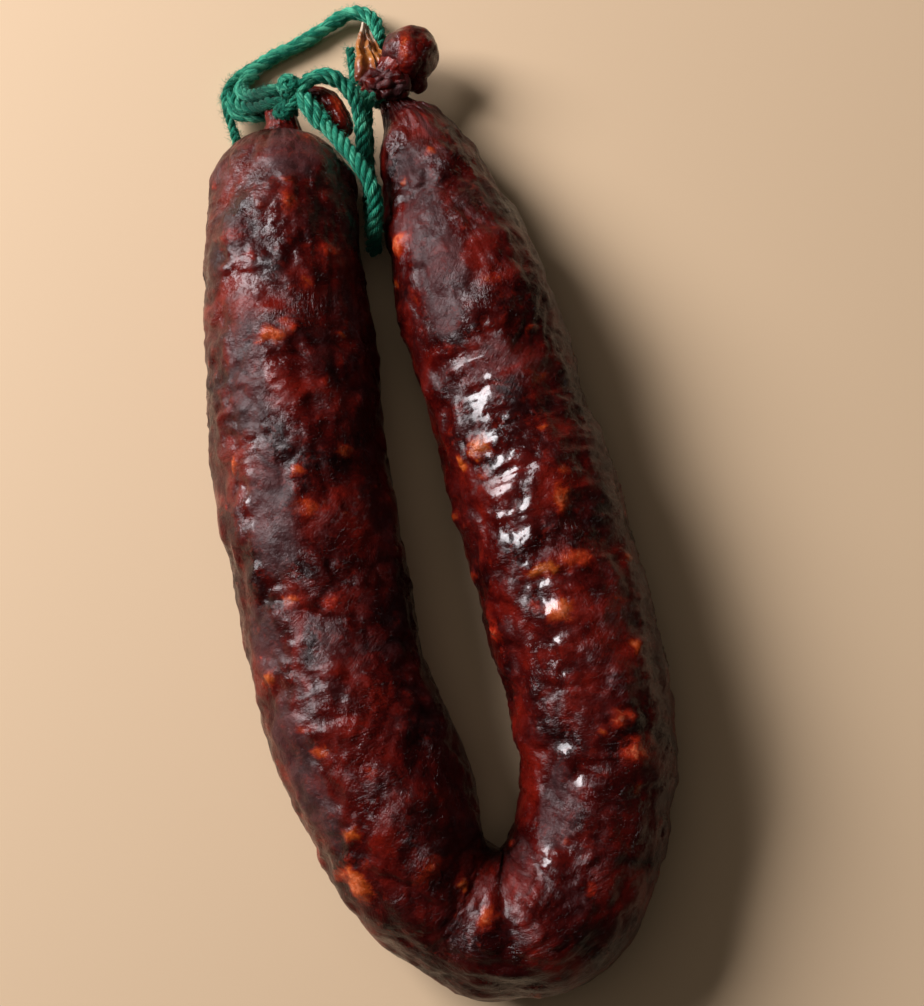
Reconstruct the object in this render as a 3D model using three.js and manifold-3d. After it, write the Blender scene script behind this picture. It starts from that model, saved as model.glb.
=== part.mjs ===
// A cured sausage bent into a horseshoe, lying flat, with both ends tied in one cotton string.
// Millimetres, +Z up. The origin is on the surface that it lies on, below the middle of the
// sausage's own box. +Y points from the bend to the two tied ends.

import * as THREE from "three";
import { mergeVertices } from "three/addons/utils/BufferGeometryUtils.js";
import Module from "manifold-3d";

const wasm = await Module();
wasm.setup();

// ---- Driving dimensions ----

const CALIBRE = 39; // width of the filled casing along its legs
const SLOT_LENGTH = 151.4; // from the fold's centre to the shoulders of the two ends
const SLOT_WIDTH = 16; // widest gap between the legs
const SLOT_LEAN = 30.7; // how far the slot leans to the left over its length
const FOLD_RADIUS = 2; // inside of the bend
const FOLD_AT = [14.73, -80.38]; // centre of the bend
const SETTLED = 0.95; // height over width, because the sausage lies under its own weight
const CONTACT_DEPTH = 0.8; // depth of the strip pressed flat on the surface
const DOME_LENGTH = 18; // blunt left end
const TAPER_LENGTH = 28.5; // pointed right end
const TAPER_LEAN = 13; // how far that point leans to the left
const TAPER_RISE = 5.4; // how far its underside lifts off the surface
const LEFT_NECK = 4.4; // casing where it is tied
const LEFT_NECK_DROP = 0.6; // from the middle of the left end down to its neck
const RIGHT_NECK = 6;
const RIGHT_NECK_HEIGHT = 9.5;
const STUB = 5.4; // thickness of the casing stub past the left knot
const NODULE = 14; // bound lump of filling past the right knot
const FLAP_THICKNESS = 1.4; // dried casing that stands past the right knot
const STRING = 4; // cotton string, lying loose
const TIGHT_STRING = 2.6; // the same string, pulled tight in the left knot
const BITING_STRING = 2; // the same string, where it bites into the right neck
const CLEARANCE = 0.3; // between pieces that touch

// ---- Tessellation ----

const SECTION_SIDES = 24;
const SMALL_SECTION_SIDES = 14;
const STEPS_PER_STATION = 2;
const STRING_SIDES = 8;
const SLIVER = 0.05; // joins and cuts leave no detail finer than this

// ---- Materials ----

const casing = new THREE.MeshStandardMaterial({
  color: 0x4a1512,
  roughness: 0.38,
  metalness: 0,
});
const cotton = new THREE.MeshStandardMaterial({
  color: 0x1c8a68,
  roughness: 0.9,
  metalness: 0,
});

// ---- Solids ----

function toSolid(geometry) {
  const bare = geometry.index ? geometry.toNonIndexed() : geometry.clone();
  bare.deleteAttribute("normal");
  bare.deleteAttribute("uv");
  const merged = mergeVertices(bare, 1e-3);
  return new wasm.Manifold(
    new wasm.Mesh({
      numProp: 3,
      vertProperties: merged.attributes.position.array,
      triVerts: new Uint32Array(merged.index.array),
    }),
  );
}

function toGeometry(solid) {
  const mesh = solid.asOriginal().simplify(SLIVER).getMesh();
  const geometry = new THREE.BufferGeometry();
  geometry.setAttribute("position", new THREE.BufferAttribute(mesh.vertProperties, 3));
  geometry.setIndex(new THREE.BufferAttribute(mesh.triVerts, 1));
  geometry.computeVertexNormals();
  return geometry;
}

// A closed skin over rings round a smooth path. Each station is [x, y, z, radius].
function sweep(stations, sides, settled = 1, steps = STEPS_PER_STATION) {
  const path = new THREE.CatmullRomCurve3(
    stations.map(([x, y, z]) => new THREE.Vector3(x, y, z)),
    false,
    "centripetal",
  );
  const count = (stations.length - 1) * steps;
  const positions = [];
  const faces = [];
  const up = new THREE.Vector3(0, 0, 1);
  for (let i = 0; i <= count; i++) {
    const t = i / count;
    const centre = path.getPoint(t);
    const tangent = path.getTangent(t);
    const side = new THREE.Vector3().crossVectors(tangent, up).normalize();
    const top = new THREE.Vector3().crossVectors(side, tangent);
    const radius = radiusAt(stations, t);
    for (let k = 0; k < sides; k++) {
      const turn = (2 * Math.PI * (k + 0.5)) / sides;
      const point = centre
        .clone()
        .addScaledVector(side, radius * Math.cos(turn))
        .addScaledVector(top, radius * settled * Math.sin(turn));
      positions.push(point.x, point.y, point.z);
    }
  }
  for (let i = 0; i < count; i++) {
    for (let k = 0; k < sides; k++) {
      const a = i * sides + k;
      const b = i * sides + ((k + 1) % sides);
      faces.push(a, b + sides, b, a, a + sides, b + sides);
    }
  }
  closeEnd(path.getPoint(0), 0, true);
  closeEnd(path.getPoint(1), count * sides, false);

  function closeEnd(centre, first, start) {
    const hub = positions.length / 3;
    positions.push(centre.x, centre.y, centre.z);
    for (let k = 0; k < sides; k++) {
      const a = first + k;
      const b = first + ((k + 1) % sides);
      faces.push(...(start ? [hub, a, b] : [hub, b, a]));
    }
  }

  const geometry = new THREE.BufferGeometry();
  geometry.setAttribute("position", new THREE.Float32BufferAttribute(positions, 3));
  geometry.setIndex(faces);
  return geometry;
}

// The radius between two stations eases from one to the other.
function radiusAt(stations, t) {
  const along = t * (stations.length - 1);
  const i = Math.min(Math.floor(along), stations.length - 2);
  const at = (n) => stations[THREE.MathUtils.clamp(n, 0, stations.length - 1)][3];
  const [p0, p1, p2, p3] = [at(i - 1), at(i), at(i + 1), at(i + 2)];
  const f = along - i;
  const slopeIn = (p2 - p0) / 2;
  const slopeOut = (p3 - p1) / 2;
  const a = 2 * p1 - 2 * p2 + slopeIn + slopeOut;
  const b = -3 * p1 + 3 * p2 - 2 * slopeIn - slopeOut;
  return ((a * f + b) * f + slopeIn) * f + p1;
}

function ellipsoid(centre, halfAxes, turnZ = 0) {
  const geometry = new THREE.SphereGeometry(1, 16, 10);
  geometry.scale(...halfAxes);
  geometry.rotateZ(turnZ);
  geometry.translate(...centre);
  return geometry;
}

// A ring of string turns round a neck, with a scalloped outside. A margin makes it larger
// all over, as the room that it takes out of the casing.
function collar(at, along, neck, string, turns, margin) {
  const inner = neck / 2 + CLEARANCE - margin;
  const outer = neck / 2 + CLEARANCE + string + margin;
  const half = (turns * string) / 2 + margin;
  const dip = string * 0.15;
  const profile = [new THREE.Vector2(inner, -half)];
  for (let i = 0; i < turns; i++) {
    const low = -half + (2 * half * i) / turns;
    const high = -half + (2 * half * (i + 1)) / turns;
    profile.push(new THREE.Vector2(outer - dip, low));
    profile.push(new THREE.Vector2(outer, (low + high) / 2));
  }
  profile.push(new THREE.Vector2(outer - dip, half));
  profile.push(new THREE.Vector2(inner, half));
  profile.push(profile[0].clone());
  const geometry = new THREE.LatheGeometry(profile, 18);
  const axis = new THREE.Vector3(...along).normalize();
  const turn = new THREE.Quaternion().setFromUnitVectors(new THREE.Vector3(0, 1, 0), axis);
  geometry.applyQuaternion(turn);
  geometry.translate(...at);
  return geometry;
}

function joined(geometries) {
  return geometries.map(toSolid).reduce((sum, solid) => sum.add(solid));
}

// ---- The sausage's route ----

const restingHeight = (radius) => radius * SETTLED - CONTACT_DEPTH;

// Each row: share of the slot's length, share of its lean, share of its width,
// then the left and right legs' widths as shares of the calibre.
const SLOT = [
  [0.06, 0.01, 0.63, 1.06, 0.885],
  [0.21, 0.2, 1.0, 1.05, 0.97],
  [0.365, 0.395, 0.97, 1.02, 0.985],
  [0.52, 0.57, 0.86, 1.055, 0.98],
  [0.68, 0.72, 0.68, 1.03, 0.925],
  [0.84, 0.885, 0.41, 1.0, 0.925],
  [0.92, 0.955, 0.33, 0.965, 0.86],
  [1.0, 1.0, 0.34, 0.91, 0.73],
];

// Width of the bend as shares of the calibre, at turns in degrees round the fold.
const BEND = [
  [205, 0.96],
  [237, 0.87],
  [270, 0.905],
  [303, 0.92],
  [335, 0.89],
];

// A leaning leg is this much wider along X than square to its own run.
const LEAN_STRETCH = 1.03;

function legStation([share, lean, gap, leftWidth, rightWidth], side) {
  const y = FOLD_AT[1] + share * SLOT_LENGTH;
  const middle = FOLD_AT[0] - lean * SLOT_LEAN;
  const radius = ((side < 0 ? leftWidth : rightWidth) * CALIBRE) / 2;
  const x = middle + side * ((gap * SLOT_WIDTH) / 2 + radius * LEAN_STRETCH);
  return [x, y, restingHeight(radius), radius];
}

function bendStation([degrees, width]) {
  const radius = (width * CALIBRE) / 2;
  const turn = THREE.MathUtils.degToRad(degrees);
  const reach = radius + FOLD_RADIUS;
  const x = FOLD_AT[0] + reach * Math.cos(turn);
  const y = FOLD_AT[1] + reach * Math.sin(turn);
  return [x, y, restingHeight(radius), radius];
}

const leftLeg = SLOT.map((row) => legStation(row, -1));
const rightLeg = SLOT.map((row) => legStation(row, 1));
const leftShoulder = leftLeg.at(-1);
const rightShoulder = rightLeg.at(-1);

// The blunt left end, as turns from its widest ring to its crown. It is a little fuller
// than a half ball.
const DOME_TURNS = [22, 42, 58, 71, 80];
const DOME_FULLNESS = 0.88;

function domeStation(degrees) {
  const turn = THREE.MathUtils.degToRad(degrees);
  const [x, y, z, radius] = leftShoulder;
  const narrowed = radius * Math.cos(turn) ** DOME_FULLNESS;
  return [x - 0.02 * DOME_LENGTH, y + DOME_LENGTH * Math.sin(turn), z, narrowed];
}

// The pointed right end: shares of its length, of its lean, of its rise and of the calibre.
const TAPER = [
  [0.3, 0.18, 0.24, 0.63],
  [0.5, 0.35, 0.42, 0.545],
  [0.7, 0.54, 0.65, 0.43],
  [0.84, 0.76, 1, 0.27],
];

function taperStation([share, lean, rise, width]) {
  const radius = (width * CALIBRE) / 2;
  const x = rightShoulder[0] - lean * TAPER_LEAN;
  const y = rightShoulder[1] + share * TAPER_LENGTH;
  return [x, y, restingHeight(radius) + rise * TAPER_RISE, radius];
}

const leftCrown = [
  leftShoulder[0],
  leftShoulder[1] + DOME_LENGTH,
  leftShoulder[2] - LEFT_NECK_DROP,
];
const rightNeck = [
  rightShoulder[0] - TAPER_LEAN,
  rightShoulder[1] + TAPER_LENGTH,
  RIGHT_NECK_HEIGHT,
];

// A point placed from another by an offset.
const from = (base, x, y, z) => [base[0] + x, base[1] + y, base[2] + z];

// ---- Left end: neck, knot and stub ----

const leftKnotAt = from(leftCrown, 1.6, 8.6, 0);

function leftNeck() {
  const neck = LEFT_NECK / 2;
  const stub = STUB / 2;
  const beside = neck + 2.2; // the neck passes the turns' left side before it enters them
  return sweep(
    [
      [...from(leftCrown, 0, -5, 0), neck * 1.8],
      [...from(leftCrown, -1.2, 1, 0), neck * 1.4],
      [...from(leftKnotAt, -beside, -3.6, 0), neck],
      [...from(leftKnotAt, -beside, -1, 0), neck],
      [...from(leftKnotAt, -2.8, 0, 0), neck],
      [...from(leftKnotAt, 3.2, 0.2, 0.2), neck],
      [...from(leftKnotAt, 6.2, 0.6, 0.6), neck],
      [...from(leftKnotAt, 8.8, -1.2, 1), stub],
      [...from(leftKnotAt, 11, -4.6, 1), stub],
      [...from(leftKnotAt, 12.9, -8, 1), stub * 0.9],
      [...from(leftKnotAt, 13.8, -10, 0.8), stub * 0.4],
    ],
    SMALL_SECTION_SIDES,
  );
}

function leftKnot(margin) {
  const neck = LEFT_NECK / 2;
  const knot = TIGHT_STRING * 1.2 + margin;
  const small = TIGHT_STRING + margin;
  return joined([
    collar(leftKnotAt, [1, 0, 0], LEFT_NECK, TIGHT_STRING, 2, margin),
    ellipsoid(from(leftKnotAt, -0.6, 2.4, neck + 1.4), [knot, knot, knot]),
    ellipsoid(from(leftKnotAt, -2.2, -neck - 1.4, neck + 0.4), [small, small, small]),
  ]);
}

// ---- Right end: neck, bound nodule, crumpled casing and flap ----

const rightNeckRun = [-0.35, 0.94, 0];

function rightBinding(margin) {
  return joined([collar(rightNeck, rightNeckRun, RIGHT_NECK, BITING_STRING, 1, margin)]);
}

function rightEnd() {
  const neck = RIGHT_NECK / 2;
  const noduleAt = from(rightNeck, 5.2, 10.6, 3);
  const half = NODULE / 2;
  return [
    sweep(
      [
        [...taperStation(TAPER[3]).slice(0, 3), neck * 1.6],
        [...rightNeck, neck],
        [...from(rightNeck, -0.8, 3.4, 1), neck * 1.2],
        [...from(rightNeck, 1.2, 7, 2.6), half * 0.66],
        [...noduleAt, half * 0.8],
      ],
      SMALL_SECTION_SIDES,
    ),
    ellipsoid(noduleAt, [half, half, half * 0.92]),
    ellipsoid(from(noduleAt, 1.4, -6.6, -2), [half * 0.36, half * 0.42, half * 0.36]),
    ellipsoid(from(rightNeck, -1.4, 3.6, 4.6), [half * 0.95, half * 0.5, half * 0.46], -0.1),
    flap(),
  ];
}

function flap() {
  const outline = new THREE.Shape();
  outline.moveTo(-8.2, 2.6);
  outline.lineTo(1.6, 2.6);
  outline.lineTo(-0.6, 7);
  outline.lineTo(-3.8, 12);
  outline.lineTo(-5.4, 18);
  outline.lineTo(-7.2, 18);
  outline.lineTo(-7.8, 11);
  outline.closePath();
  const geometry = new THREE.ExtrudeGeometry(outline, {
    depth: FLAP_THICKNESS,
    bevelEnabled: false,
  });
  geometry.translate(...from(rightNeck, 0, 0, 3.4));
  return geometry;
}

// ---- The sausage, one solid ----

function sausage() {
  const stations = [
    ...DOME_TURNS.map(domeStation).reverse(),
    ...leftLeg.toReversed(),
    ...BEND.map(bendStation),
    ...rightLeg,
    ...TAPER.map(taperStation),
    [...rightNeck, RIGHT_NECK / 2],
  ];
  const body = sweep(stations, SECTION_SIDES, SETTLED);
  const below = new THREE.BoxGeometry(400, 400, 40);
  below.translate(0, 0, -20);
  const whole = joined([body, leftNeck(), ...rightEnd()]);
  return whole
    .subtract(toSolid(below))
    .subtract(leftKnot(CLEARANCE))
    .subtract(rightBinding(CLEARANCE));
}

// ---- String ----

// Each route is a list of points that the string's middle follows.
const HANGING_LOOP = [
  [-40.4, 95.8, 10],
  [-43.6, 95.5, 9.8],
  [-47, 95.8, 8.6],
  [-50, 97.5, 6.6],
  [-51.8, 101, 4.6],
  [-51.2, 104.6, 3.2],
  [-48.8, 107.8, 2.6],
  [-44.9, 110.6, 2.3],
  [-40.7, 113.2, 2.3],
  [-36.4, 115.4, 2.3],
  [-32.4, 117.6, 2.4],
  [-28.4, 120.3, 2.6],
  [-24.9, 122.6, 3],
  [-21.7, 124, 3.6],
  [-18.2, 123.4, 4.4],
  [-15.6, 120.8, 5.2],
  [-14.6, 117.4, 5.8],
  [-15.2, 113.4, 6],
  [-16.6, 109.2, 6.6],
  [-17.8, 105.4, 7],
  [-18.2, 102, 7.4],
];
const FRONT_TAIL = [
  [-31.4, 94.6, 20.8],
  [-28.8, 91.4, 21.2],
  [-25.9, 87.9, 22],
  [-22.7, 84.1, 23],
  [-19.7, 80.1, 24],
  [-17.1, 76.2, 24.6],
  [-15.2, 72.6, 24.4],
  [-14.4, 68.8, 23.2],
  [-14.6, 65.2, 20.6],
  [-15, 62.2, 16.8],
  [-15.2, 60.2, 12.6],
];
const BACK_TAIL = [
  [-31.4, 99.8, 21.4],
  [-28.4, 101, 21.8],
  [-25.4, 101, 21.4],
  [-22.4, 99.4, 20.6],
  [-20, 96.6, 19.8],
  [-18.7, 93.2, 19],
  [-18, 89.2, 18],
  [-17.8, 85.2, 16.4],
  [-17.4, 81.4, 14],
  [-16.8, 77.8, 11.4],
];
const RIGHT_TAIL = [
  [-16.8, 99, 14.7],
  [-17.1, 95.4, 14.9],
  [-17.3, 91.4, 14.3],
  [-17.2, 87.6, 12.9],
  [-17.1, 83.8, 10.7],
  [-16.8, 80, 8],
  [-16.4, 76, 6],
  [-16, 71.6, 4.8],
  [-15.8, 67.2, 4.2],
];
const LEFT_CUT_END = [
  [-52.8, 95.6, 4.6],
  [-52.4, 93.4, 3.4],
  [-51.6, 91.4, 2.4],
];
const RIGHT_CUT_END = [
  [-20.6, 103.6, 9.4],
  [-20.8, 107, 9.2],
  [-21.2, 110.2, 8.8],
  [-21.6, 113, 8],
];

const vectors = (points) => points.map((point) => new THREE.Vector3(...point));

// A plain tube of string along a route.
function stringTube(points, diameter, steps) {
  const section = new THREE.Shape();
  section.absarc(0, 0, diameter / 2, 0, 2 * Math.PI);
  return new THREE.ExtrudeGeometry(section, {
    steps,
    curveSegments: STRING_SIDES / 2,
    bevelEnabled: false,
    extrudePath: new THREE.CatmullRomCurve3(vectors(points), false, "centripetal"),
  });
}

// ---- Assembly ----

const group = new THREE.Group();

function place(name, geometry, material) {
  const mesh = new THREE.Mesh(geometry, material);
  mesh.name = name;
  group.add(mesh);
  return mesh;
}

const meat = place("sausage", toGeometry(sausage()), casing);
place("left_knot", toGeometry(leftKnot(0)), cotton);
place("right_binding", toGeometry(rightBinding(0)), cotton);
place("hanging_loop", stringTube(HANGING_LOOP, STRING, 40), cotton);
place("front_tail", stringTube(FRONT_TAIL, STRING, 20), cotton);
place("back_tail", stringTube(BACK_TAIL, STRING, 18), cotton);
place("right_tail", stringTube(RIGHT_TAIL, STRING, 16), cotton);
place("left_cut_end", stringTube(LEFT_CUT_END, STRING * 0.6, 3), cotton);
place("right_cut_end", stringTube(RIGHT_CUT_END, STRING * 0.6, 5), cotton);

meat.geometry.computeBoundingBox();
const middle = meat.geometry.boundingBox.getCenter(new THREE.Vector3());
group.position.set(-middle.x, -middle.y, 0);

export default group;
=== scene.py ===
"""A cured sausage bent into a horseshoe, both ends tied in one green cotton string.

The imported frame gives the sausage's place and size. Everything here is in metres in that frame.
"""

import math

import bmesh
import bpy
import numpy as np
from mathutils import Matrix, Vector
from mathutils.kdtree import KDTree


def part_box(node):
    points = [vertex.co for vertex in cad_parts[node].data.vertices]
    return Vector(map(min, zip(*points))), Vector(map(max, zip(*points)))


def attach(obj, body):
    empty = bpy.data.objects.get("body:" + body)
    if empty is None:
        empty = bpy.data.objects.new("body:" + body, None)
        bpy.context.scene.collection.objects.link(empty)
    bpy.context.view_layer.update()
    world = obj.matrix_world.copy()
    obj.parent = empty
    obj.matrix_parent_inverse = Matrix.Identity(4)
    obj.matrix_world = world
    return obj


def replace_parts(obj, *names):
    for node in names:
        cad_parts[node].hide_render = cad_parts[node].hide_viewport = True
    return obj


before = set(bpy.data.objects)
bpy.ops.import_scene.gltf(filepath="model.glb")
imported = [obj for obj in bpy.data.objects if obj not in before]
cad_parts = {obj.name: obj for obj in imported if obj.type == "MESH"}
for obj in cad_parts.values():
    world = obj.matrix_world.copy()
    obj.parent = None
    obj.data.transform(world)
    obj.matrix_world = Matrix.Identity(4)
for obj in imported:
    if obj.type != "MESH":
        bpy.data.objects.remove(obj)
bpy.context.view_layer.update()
SAUSAGE_LOW, SAUSAGE_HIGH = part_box("sausage")
MM = 0.001
collection = bpy.context.scene.collection


# ---- Camera ----
# It looks almost straight down on the sausage, from the side of the bend, half a metre away.

AIM_OFFSET = Vector((6.2, -2.4, 0)) * MM
LOOKS_AT = (SAUSAGE_LOW + SAUSAGE_HIGH) / 2 + AIM_OFFSET
CAMERA_DISTANCE = 480 * MM
CAMERA_ELEVATION = math.radians(82)
CAMERA_LENS = 73.1
NEAREST_IN_VIEW = 0.01

camera = bpy.data.objects.new("camera", bpy.data.cameras.new("camera"))
camera.data.lens = CAMERA_LENS
camera.data.clip_start = NEAREST_IN_VIEW
towards_camera = Vector((0, -math.cos(CAMERA_ELEVATION), math.sin(CAMERA_ELEVATION)))
camera.location = LOOKS_AT + towards_camera * CAMERA_DISTANCE
camera.rotation_euler = towards_camera.to_track_quat("Z", "Y").to_euler()
collection.objects.link(camera)
bpy.context.scene.camera = camera


# ---- Cotton string: routes ----
# One soft cotton string, laid from several strands. Both ends of the sausage are tied with it:
# it hangs in a loop between them, and three tails run down between the two legs.

STRING = 4 * MM

HANGING_LOOP = [
    (-40.4, 95.8, 10), (-43.6, 95.5, 9.8), (-47, 95.8, 8.6), (-50, 97.5, 6.6),
    (-51.8, 101, 4.6), (-51.2, 104.6, 3.2), (-48.8, 107.8, 2.6), (-44.9, 110.6, 2.3),
    (-40.7, 113.2, 2.3), (-36.4, 115.4, 2.3), (-32.4, 117.6, 2.4), (-28.4, 120.3, 2.6),
    (-24.9, 122.6, 3), (-21.7, 124, 3.6), (-18.2, 123.4, 4.4), (-15.6, 120.8, 5.2),
    (-14.6, 117.4, 5.8), (-15.2, 113.4, 6), (-16.6, 109.2, 6.6), (-17.8, 105.4, 7),
    (-18.2, 102, 7.4),
]
FRONT_TAIL = [
    (-31.4, 94.6, 20.8), (-28.8, 91.4, 21.2), (-25.9, 87.9, 22), (-22.7, 84.1, 23),
    (-19.7, 80.1, 24), (-17.1, 76.2, 24.6), (-15.2, 72.6, 24.4), (-14.4, 68.8, 23.2),
    (-14.6, 65.2, 20.6), (-15, 62.2, 16.8), (-15.2, 60.2, 12.6),
]
BACK_TAIL = [
    (-31.4, 99.8, 21.4), (-28.4, 101, 21.8), (-25.4, 101, 21.4), (-22.4, 99.4, 20.6),
    (-20, 96.6, 19.8), (-18.7, 93.2, 19), (-18, 89.2, 18), (-17.8, 85.2, 16.4),
    (-17.4, 81.4, 14), (-16.8, 77.8, 11.4),
]
RIGHT_TAIL = [
    (-16.8, 99, 14.7), (-17.1, 95.4, 14.9), (-17.3, 91.4, 14.3), (-17.2, 87.6, 12.9),
    (-17.1, 83.8, 10.7), (-16.8, 80, 8), (-16.4, 76, 6), (-16, 71.6, 4.8),
    (-15.8, 67.2, 4.2),
]
LEFT_CUT_END = [
    (-48.6, 107.2, 5.4), (-51.4, 104.6, 6), (-52.6, 101.4, 5.8), (-52.2, 98, 5.2),
    (-51.2, 95, 4.4), (-50.4, 92.4, 3.2), (-49.9, 90.4, 2.2),
]
RIGHT_CUT_END = [(-20.6, 103.6, 9.4), (-20.8, 107, 9.2), (-21.2, 110.2, 8.8), (-21.6, 113, 8)]


PLACES_PER_SPAN = 24


def smooth_path(points, step):
    """Rows along one smooth centripetal curve through the points, about a step apart.

    The first three columns are a place. Any others ease from point to point with it.
    """
    points = np.array(points, float)
    p = np.concatenate([[2 * points[0] - points[1]], points, [2 * points[-1] - points[-2]]])
    chord = np.sqrt(np.linalg.norm(np.diff(p[:, :3], axis=0), axis=1))
    knots = np.concatenate([[0], np.cumsum(chord)])
    rows = []
    for i in range(1, len(p) - 2):
        t = np.linspace(knots[i], knots[i + 1], PLACES_PER_SPAN, endpoint=i == len(p) - 3)[:, None]
        k = knots[i - 1:i + 3]

        def between(a, b, first, last):
            return ((last - t) * a + (t - first) * b) / (last - first)

        a1 = between(p[i - 1], p[i], k[0], k[1])
        a2 = between(p[i], p[i + 1], k[1], k[2])
        a3 = between(p[i + 1], p[i + 2], k[2], k[3])
        rows.append(between(between(a1, a2, k[0], k[2]), between(a2, a3, k[1], k[3]), k[1], k[2]))
    rows = np.concatenate(rows)
    run = np.concatenate([[0], np.cumsum(np.linalg.norm(np.diff(rows[:, :3], axis=0), axis=1))])
    even = np.linspace(0, run[-1], max(2, round(run[-1] / step) + 1))
    return np.stack([np.interp(even, run, column) for column in rows.T], axis=1)


def run_length(path):
    return float(np.linalg.norm(np.diff(path[:, :3], axis=0), axis=1).sum())


# ---- Cotton string: how it is laid ----
# The string is a few strands laid round each other, each of them a bundle of thin yarns laid
# the other way. Short broken fibres stand off it as fuzz, and it opens at a cut end.


def add(tree, kind, inputs=None, **settings):
    """Adds a node, sets its options, and sets or links its inputs by name or place."""
    node = tree.nodes.new(kind)
    for name, setting in settings.items():
        setattr(node, name, setting)
    for key, given in (inputs or {}).items():
        if isinstance(given, bpy.types.NodeSocket):
            tree.links.new(given, node.inputs[key])
        else:
            node.inputs[key].default_value = given
    return node


def math_of(tree, operation, *given):
    return add(tree, "ShaderNodeMath", dict(enumerate(given)), operation=operation).outputs[0]


def plus(tree, base, factor, extra):
    """base plus factor times extra."""
    return math_of(tree, "ADD", base, math_of(tree, "MULTIPLY", extra, factor))


def vector_of(tree, operation, *given):
    return add(tree, "ShaderNodeVectorMath", dict(enumerate(given)), operation=operation).outputs[0]


def scaled(tree, vector, factor):
    return add(tree, "ShaderNodeVectorMath", {0: vector, "Scale": factor}, operation="SCALE").outputs[0]


def noise_of(tree, place, scale, detail=3.0, distortion=0.0):
    return add(tree, "ShaderNodeTexNoise", {"Vector": place, "Scale": scale, "Detail": detail,
                                            "Distortion": distortion}).outputs["Fac"]


def ramp_of(tree, share, *stops):
    """A colour ramp through (place, colour) stops."""
    ramp = add(tree, "ShaderNodeValToRGB", {"Fac": share})
    elements = ramp.color_ramp.elements
    for element, (position, colour) in zip(elements, (stops[0], stops[-1])):
        element.position = position
        element.color = (*colour, 1)
    for position, colour in stops[1:-1]:
        elements.new(position).color = (*colour, 1)
    return ramp.outputs["Color"]


def mixed(tree, share, first, second):
    """The first colour turning to the second as the share goes from 0 to 1."""
    node = add(tree, "ShaderNodeMix", {"Factor": share}, data_type="RGBA")
    for socket, given in ((node.inputs[6], first), (node.inputs[7], second)):
        if isinstance(given, bpy.types.NodeSocket):
            tree.links.new(given, socket)
        else:
            socket.default_value = (*given, 1)
    return node.outputs[2]


def new_material(name):
    """A material, its node tree, its shader, and where a place is on its piece."""
    material = bpy.data.materials.new(name)
    material.use_nodes = True
    tree = material.node_tree
    place = add(tree, "ShaderNodeTexCoord").outputs["Object"]
    return material, tree, tree.nodes["Principled BSDF"], place


def field_of(tree, label):
    """A number that the piece keeps for each of its points."""
    return add(tree, "ShaderNodeAttribute", attribute_name=label).outputs["Fac"]


def finish_shader(tree, shader, colour, height, strength, distance, **constants):
    """Gives a shader its colour, its bump and the sockets that stay the same all over."""
    tree.links.new(colour, shader.inputs["Base Color"])
    bump = add(tree, "ShaderNodeBump", {"Height": height, "Strength": strength, "Distance": distance})
    tree.links.new(bump.outputs["Normal"], shader.inputs["Normal"])
    for label, constant in constants.items():
        shader.inputs[label.replace("_", " ")].default_value = constant


UNEVEN_LAY = 420.0


def laid_round(tree, curve, count, reach, lay, seed):
    """Copies each curve count times and winds the copies round it in one lay."""
    copies = add(tree, "GeometryNodeDuplicateElements", {"Geometry": curve, "Amount": count},
                 domain="SPLINE")
    run = add(tree, "GeometryNodeSplineParameter").outputs["Length"]
    share = math_of(tree, "DIVIDE", copies.outputs["Duplicate Index"], count)
    turns = math_of(tree, "ADD", share, math_of(tree, "DIVIDE", run, lay))
    angle = math_of(tree, "MULTIPLY", turns, math.tau)
    normal = add(tree, "GeometryNodeInputNormal").outputs["Normal"]
    tangent = add(tree, "GeometryNodeInputTangent").outputs["Tangent"]
    sideways = vector_of(tree, "CROSS_PRODUCT", tangent, normal)
    place = add(tree, "GeometryNodeInputPosition").outputs["Position"]
    uneven = add(tree, "ShaderNodeTexNoise",
                 {"Vector": place, "W": seed, "Scale": UNEVEN_LAY, "Detail": 1.0},
                 noise_dimensions="4D").outputs["Fac"]
    loose = math_of(tree, "MULTIPLY", reach, math_of(tree, "ADD", uneven, 0.5))
    offset = vector_of(
        tree, "ADD",
        scaled(tree, normal, math_of(tree, "MULTIPLY", math_of(tree, "COSINE", angle), loose)),
        scaled(tree, sideways, math_of(tree, "MULTIPLY", math_of(tree, "SINE", angle), loose)),
    )
    return add(tree, "GeometryNodeSetPosition",
               {"Geometry": copies.outputs["Geometry"], "Offset": offset}).outputs["Geometry"]


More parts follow.
